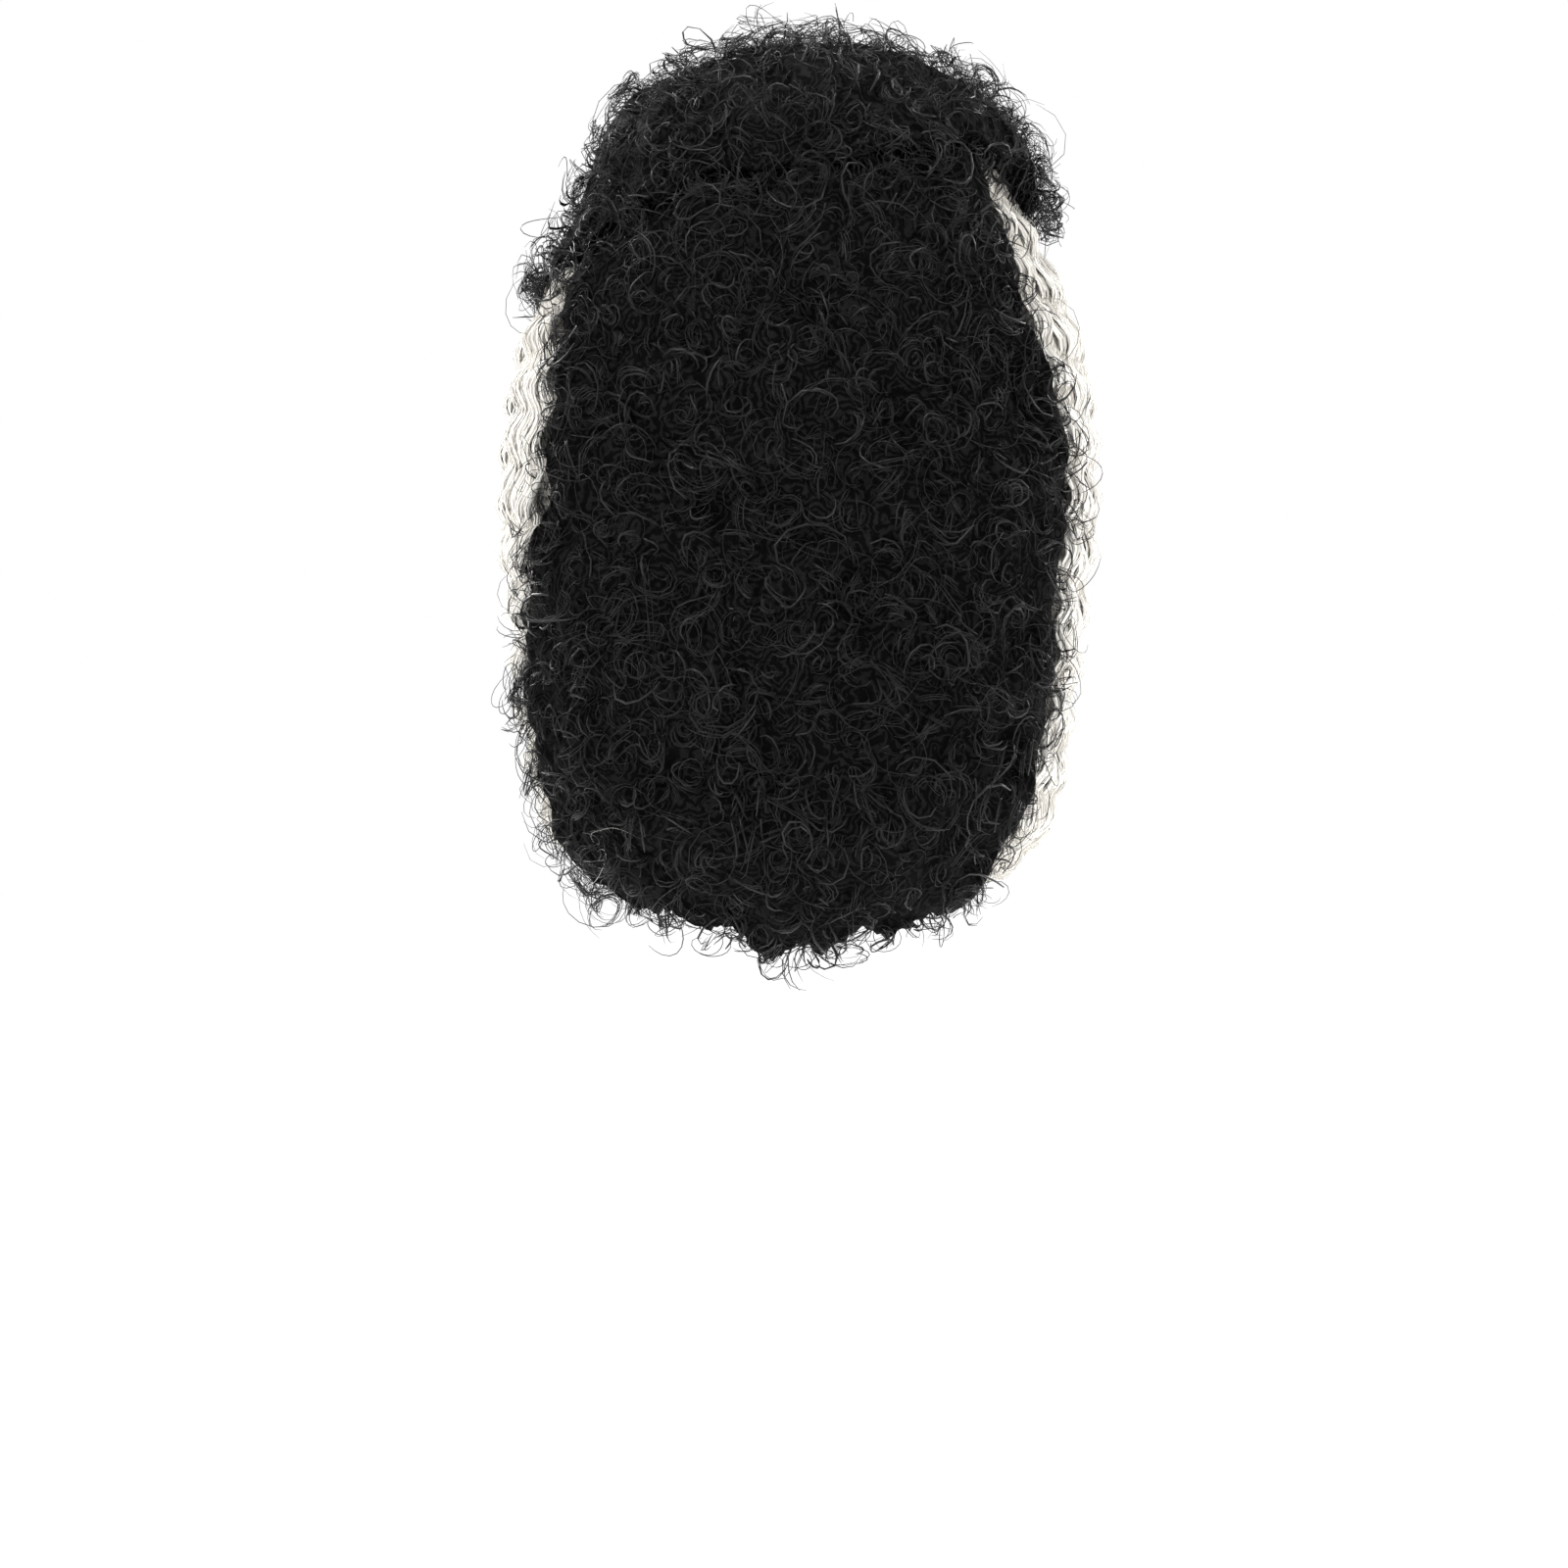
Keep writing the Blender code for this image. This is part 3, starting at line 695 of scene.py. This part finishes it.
# %% [markdown]
# ## The net cap
# Nothing of the cap shows from behind. From the front and from below one sees a black knitted net, the
# sewn rows that carry the hair, and the tape round its edge.

# %% Cap, edge tape and sewn rows
CAP_TURNS = 73
ROW_STEP = 15 * MM
TAPE_INSET = 0.9 * MM

cap = welded_copy("wig_cap", "wig_cap_net", cap_net)
bpy.ops.object.shade_smooth_by_angle(angle=math.radians(50))
take_place(cap, "wig_cap")
cap_tri = solids["wig_cap"]
cap_tree = BVHTree.FromPolygons(
    [Vector(p) for p in cap_tri.reshape(-1, 3)], [(3 * i, 3 * i + 1, 3 * i + 2) for i in range(len(cap_tri))]
)


def cap_reach(turn, z):
    """How far the cap's inner side is from the middle in one direction, or not a number where there is none."""
    aim = Vector((math.sin(turn), math.cos(turn), 0))
    hit = cap_tree.ray_cast(Vector((0, 0, z)), aim, 0.2)[0]
    return np.nan if hit is None else math.hypot(hit.x, hit.y) - TAPE_INSET


def ring_path(turns, reach, z):
    out = np.stack([np.sin(turns), np.cos(turns), np.zeros_like(turns)], -1)
    return out * reach[:, None] + np.stack([0 * turns, 0 * turns, z + 0 * turns], -1), out


rows = []
for z in np.arange(cap_tri[..., 2].min() + 2 * ROW_STEP, cap_tri[..., 2].max() - ROW_STEP / 2, ROW_STEP):
    all_turns = np.radians(np.arange(-180, 181, 3.0))
    reach = np.array([cap_reach(turn, z) for turn in all_turns])
    middle = len(all_turns) // 2
    first = last = middle
    while first > 0 and not np.isnan(reach[first - 1]):
        first -= 1
    while last < len(all_turns) - 1 and not np.isnan(reach[last + 1]):
        last += 1
    if np.isnan(reach[middle]) or last - first < 8:
        continue
    turns = np.linspace(all_turns[first], all_turns[last], CAP_TURNS)
    rows.append(ring_path(turns, np.interp(turns, all_turns[first : last + 1], reach[first : last + 1]), z))

edge_turns = np.linspace(-math.pi, math.pi, CAP_TURNS)
corners = cap_tri.reshape(-1, 3)
corner_turns = np.arctan2(corners[:, 0], corners[:, 1])
edge_z, edge_reach = [], []
for turn in edge_turns:
    apart = np.abs(np.mod(corner_turns - turn + math.pi, 2 * math.pi) - math.pi)
    here = corners[apart < math.radians(6)]
    z = here[:, 2].min() + 4 * MM
    edge_z.append(z)
    edge_reach.append(cap_reach(turn, z))
edge_z, edge_reach = np.array(edge_z), np.array(edge_reach)
known = ~np.isnan(edge_reach)
edge_reach = np.interp(edge_turns, edge_turns[known], edge_reach[known])
edge_z = np.convolve(np.pad(edge_z[:-1], 2, mode="wrap"), np.ones(5) / 5, mode="valid")
edge_z = np.append(edge_z, edge_z[0])
edge = ring_path(edge_turns, edge_reach, edge_z)
sewn = (np.stack([p for p, _ in rows]), np.stack([o for _, o in rows]), 1.6 * MM, 0.3)
tape = (edge[0][None], edge[1][None], 3.5 * MM, 0.14)
dress("wig_cap_tapes", tape_finish, [sewn, tape])
print("sewn rows", len(rows))

# %% [markdown]
# ## Loose curls
# A worn synthetic wig has ringlets that stand out from its outline, and a few fibres that have come loose
# from the mass beside them. Each row below is one tuft: how far left of the middle, how high, and its size.

# %% Tufts and stray fibres
TUFTS = np.array(
    [
        # left, height, radius, in millimetres
        (38, 352, 11),
        (12, 350, 9),
        (-22, 350, 12),
        (-62, 346, 13),
        (-112, 328, 12),
        (104, 322, 10),
        (134, 262, 9),
        (156, 204, 12),
        (146, 192, 10),
        (-154, 256, 11),
        (-148, 268, 10),
        (158, 86, 10),
        (-164, 82, 12),
        (166, 20, 11),
        (172, -38, 12),
        (164, -96, 10),
        (-150, -118, 11),
        (132, -158, 11),
        (112, -178, 12),
        (92, -180, 10),
        (34, -200, 13),
        (8, -206, 11),
        (-20, -202, 12),
        (-82, -176, 13),
        (-96, -168, 10),
    ]
)
black_tri = np.concatenate([solids[node] for node in BLACK_NODES])
black_tree = BVHTree.FromPolygons(
    [Vector(p) for p in black_tri.reshape(-1, 3)], [(3 * i, 3 * i + 1, 3 * i + 2) for i in range(len(black_tri))]
)
anchors, facing = [], []
for left, height, radius in TUFTS * MM:
    aim = Vector((left, 0.03, height))
    spot = black_tree.find_nearest(aim)[0]
    out = Vector((left, 0.01, max(height - 0.2, min(height + 0.12, 0.0))))
    anchors.append(spot.lerp(aim, 0.5) if (aim - spot).length < 0.03 else spot)
    facing.append(out.normalized())
tufts = curl_frames(np.array(anchors), np.array(facing))
tufts["size"] = TUFTS[:, 2] * MM
bundle = (*curl_paths(tufts, 3, 5, LOOP_STEPS, (0.6, 1.15), (0.5, 0.9), 0.07), 0.34 * MM, 0.8)
loops = (*curl_paths(tufts, 3, 1, LOOP_STEPS, (0.9, 1.5), (0.6, 1.1), 0.1), 0.22 * MM, 0.9)
dress("loose_black_curls", black_hair, [bundle, loops])

STRAY_STEPS = 25
strays = np.array([(116, 108, -128), (108, 112, -138), (122, 100, -146), (100, 116, -122)]) * MM
strays = np.array([black_tree.find_nearest(Vector(p))[0] for p in strays])
stray_curls = curl_frames(strays + unit(strays) * 4 * MM, unit(strays))
stray_curls["size"] = np.full(len(strays), 16 * MM)
stray = (*curl_paths(stray_curls, 1, 1, STRAY_STEPS, (0.6, 1.0), (0.3, 0.6), 0.1), 0.08 * MM, 0.9)
dress("loose_pale_fibres", pale_hair, [stray])

# %% [markdown]
# ## Stage
# A pale floor well below the wig, which hangs at the height of a head, soft light from all round, and the
# camera behind the wig as in the photo.

# %% Floor, light and camera
PIXEL = 0.6 * MM
LENS = 85
SENSOR = 36
bpy.ops.object.select_all(action="DESELECT")
bpy.ops.mesh.primitive_plane_add(size=30, location=(0, 0, -0.62))
floor = bpy.context.object
floor.name = "floor"
pale, made, links = new_material("floor_paint")
made["Principled BSDF"].inputs["Base Color"].default_value = (0.9, 0.9, 0.9, 1)
made["Principled BSDF"].inputs["Roughness"].default_value = 0.9
made["Principled BSDF"].inputs["Emission Color"].default_value = (1, 1, 1, 1)
where = made.new("ShaderNodeTexCoord")
away = made.new("ShaderNodeVectorMath")
away.operation = "LENGTH"
glow = made.new("ShaderNodeMapRange")
glow.inputs["From Min"].default_value = 0.5
glow.inputs["From Max"].default_value = 4.0
glow.inputs["To Min"].default_value = 0.45
glow.inputs["To Max"].default_value = 0.9
links.new(where.outputs["Object"], away.inputs[0])
links.new(away.outputs["Value"], glow.inputs["Value"])
links.new(glow.outputs["Result"], made["Principled BSDF"].inputs["Emission Strength"])
floor.data.materials.append(pale)


def soft_light(name, place, size, power):
    light = bpy.data.lights.new(name, "AREA")
    light.shape = "SQUARE"
    light.size = size
    light.energy = power
    lamp = bpy.data.objects.new(name, light)
    lamp.location = place
    lamp.rotation_euler = (Vector((0, 0, 0.05)) - Vector(place)).to_track_quat("-Z", "Y").to_euler()
    bpy.context.scene.collection.objects.link(lamp)


soft_light("back_left", (1.6, 2.0, 1.5), 1.0, 80)
soft_light("back_right", (-1.9, 1.6, 0.9), 1.0, 45)
soft_light("front_left", (1.5, -2.0, 1.4), 1.0, 60)
soft_light("front_right", (-1.6, -1.8, 1.0), 1.0, 45)
soft_light("above", (0, 0.2, 2.3), 1.3, 60)
world = bpy.data.worlds.new("studio")
world.use_nodes = True
sky = world.node_tree.nodes["Background"]
seen = world.node_tree.nodes.new("ShaderNodeLightPath")
strength = world.node_tree.nodes.new("ShaderNodeMapRange")
strength.inputs["To Min"].default_value = 0.16
strength.inputs["To Max"].default_value = 1.0
world.node_tree.links.new(seen.outputs["Is Camera Ray"], strength.inputs["Value"])
world.node_tree.links.new(strength.outputs["Result"], sky.inputs["Strength"])
sky.inputs["Color"].default_value = (1, 1, 1, 1)
bpy.context.scene.world = world
bpy.context.scene.view_settings.view_transform = "Standard"

camera_data = bpy.data.cameras.new("camera")
camera_data.lens = LENS
camera_data.sensor_width = SENSOR
camera = bpy.data.objects.new("camera", camera_data)
bpy.context.scene.collection.objects.link(camera)
distance = 1600 * PIXEL * LENS / SENSOR
camera.location = (14 * PIXEL, distance, -163 * PIXEL)
camera.rotation_euler = (math.pi / 2, 0, math.pi)
bpy.context.scene.camera = camera

print("triangles added", sum(triangle_counts), "in", len(triangle_counts), "pieces")
print("cad box", [tuple(round(c, 4) for c in p) for p in cad_box])
